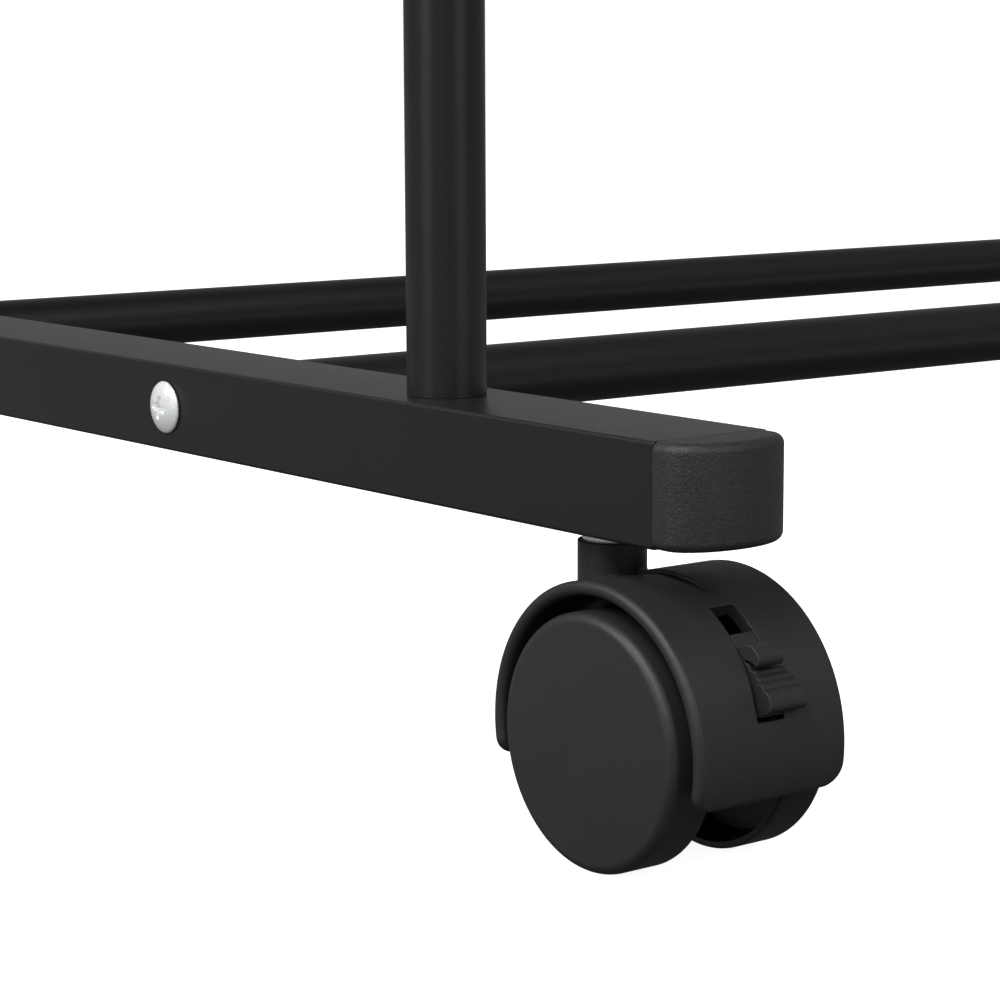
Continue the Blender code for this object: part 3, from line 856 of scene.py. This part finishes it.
# the room the rack reflects: for each height its level, and how the level
# changes along X and Y (held 0.5 too high, as a ramp has no negatives)
w_coords = wt.nodes.new("ShaderNodeTexCoord")
w_parts = wt.nodes.new("ShaderNodeSeparateXYZ")
w_height = wt.nodes.new("ShaderNodeMapRange")
w_height.inputs["From Min"].default_value = -1.0
w_ramp = wt.nodes.new("ShaderNodeValToRGB")
w_flat = wt.nodes.new("ShaderNodeVectorMath")
w_flat.operation = "MULTIPLY"
w_flat.inputs[1].default_value = (1, 1, 0)
w_unit = wt.nodes.new("ShaderNodeVectorMath")
w_unit.operation = "NORMALIZE"
w_xy = wt.nodes.new("ShaderNodeSeparateXYZ")
w_side = wt.nodes.new("ShaderNodeCombineXYZ")
w_side.inputs["X"].default_value = 1.0
w_less = wt.nodes.new("ShaderNodeVectorMath")
w_less.operation = "SUBTRACT"
w_less.inputs[1].default_value = (0, 0.5, 0.5)
w_dot = wt.nodes.new("ShaderNodeVectorMath")
w_dot.operation = "DOT_PRODUCT"
wt.links.new(w_coords.outputs["Generated"], w_parts.inputs["Vector"])
wt.links.new(w_parts.outputs["Z"], w_height.inputs["Value"])
wt.links.new(w_height.outputs["Result"], w_ramp.inputs["Fac"])
wt.links.new(w_coords.outputs["Generated"], w_flat.inputs[0])
wt.links.new(w_flat.outputs["Vector"], w_unit.inputs[0])
wt.links.new(w_unit.outputs["Vector"], w_xy.inputs["Vector"])
wt.links.new(w_xy.outputs["X"], w_side.inputs["Y"])
wt.links.new(w_xy.outputs["Y"], w_side.inputs["Z"])
wt.links.new(w_ramp.outputs["Color"], w_less.inputs[0])
wt.links.new(w_less.outputs["Vector"], w_dot.inputs[0])
wt.links.new(w_side.outputs["Vector"], w_dot.inputs[1])
wt.links.new(w_dot.outputs["Value"], w_dim.inputs["Strength"])
BANDS = ((-1.0, -0.35, (0.066, 0.0, 0.0)), (-0.35, 0.0, (0.2545, -0.004, -0.030)),
         (0.0, 0.14, (0.125, 0.082, 0.094)), (0.14, 0.4, (0.135, 0.089, 0.102)),
         (0.4, 0.8, (0.290, -0.154, -0.049)), (0.8, 1.0, (0.0, 0.0, 0.0)))
stops = w_ramp.color_ramp.elements
stops[0].position, stops[1].position = 0.0, 1.0
for stop, band in ((stops[0], BANDS[0][2]), (stops[1], BANDS[-1][2])):
    stop.color = (band[0], band[1] + 0.5, band[2] + 0.5, 1)
for low, high, (level, gx, gy) in BANDS:
    for height in (low + 0.02, high - 0.02):
        stop = stops.new((height + 1) / 2)
        stop.color = (level, gx + 0.5, gy + 0.5, 1)
w_dim.inputs["Color"].default_value = (1, 1, 1, 1)
w_pale.inputs["Color"].default_value = (1, 1, 1, 1)
w_pale.inputs["Strength"].default_value = 1.0
wt.links.new(w_path.outputs["Is Camera Ray"], w_mix.inputs["Fac"])
wt.links.new(w_dim.outputs["Background"], w_mix.inputs[1])
wt.links.new(w_pale.outputs["Background"], w_mix.inputs[2])
wt.links.new(w_mix.outputs["Shader"], w_out.inputs["Surface"])


def area_light(name, at, aim, size, power):
    data = bpy.data.lights.new(name, "AREA")
    data.shape = "SQUARE"
    data.size = size
    data.energy = power
    ob = bpy.data.objects.new(name, data)
    scene.collection.objects.link(ob)
    ob.location = at
    ob.rotation_euler = (Vector(aim) - Vector(at)).to_track_quat("-Z", "Y").to_euler()
    return ob


def round_light(name, left, high, size, power):
    """A soft light 2.5 m from the corner: degrees to the camera's left and
    up, seen from the corner."""
    a, e = math.radians(-131.17 - left), math.radians(high)
    away = Vector((math.cos(a) * math.cos(e), math.sin(a) * math.cos(e),
                   math.sin(e)))
    aim = Vector((-0.53, -0.25, 0.06))
    area_light(name, aim + away * 2.5, aim, size, power)


round_light("upper_left", 40, 62, 1.1, 24.7)
round_light("left", 75, 35, 1.1, 19.0)
round_light("front", 10, 35, 1.1, 15.4)
round_light("right", -50, 35, 1.1, 10.4)
round_light("right_low", -50, 8, 1.1, 2.6)
round_light("left_low", 50, 10, 1.1, 4.0)

camera_data = bpy.data.cameras.new("camera")
camera_data.sensor_width = 36.0
camera_data.lens = 2794.0 * 36.0 / 1000.0
camera_data.clip_start = 0.02
camera_data.clip_end = 60.0
camera = bpy.data.objects.new("camera", camera_data)
scene.collection.objects.link(camera)
azimuth, pitch, roll = (math.radians(v) for v in (37.566, 8.986, -0.234))
ahead = Vector((math.sin(azimuth) * math.cos(pitch),
                math.cos(azimuth) * math.cos(pitch), -math.sin(pitch)))
right = Vector((math.cos(azimuth), -math.sin(azimuth), 0))
up = right.cross(ahead)
right2 = right * math.cos(roll) + up * math.sin(roll)
up2 = up * math.cos(roll) - right * math.sin(roll)
camera.matrix_world = Matrix((
    (right2.x, up2.x, -ahead.x, -0.8757),
    (right2.y, up2.y, -ahead.y, -0.6452),
    (right2.z, up2.z, -ahead.z, 0.1504),
    (0, 0, 0, 1)))
scene.camera = camera
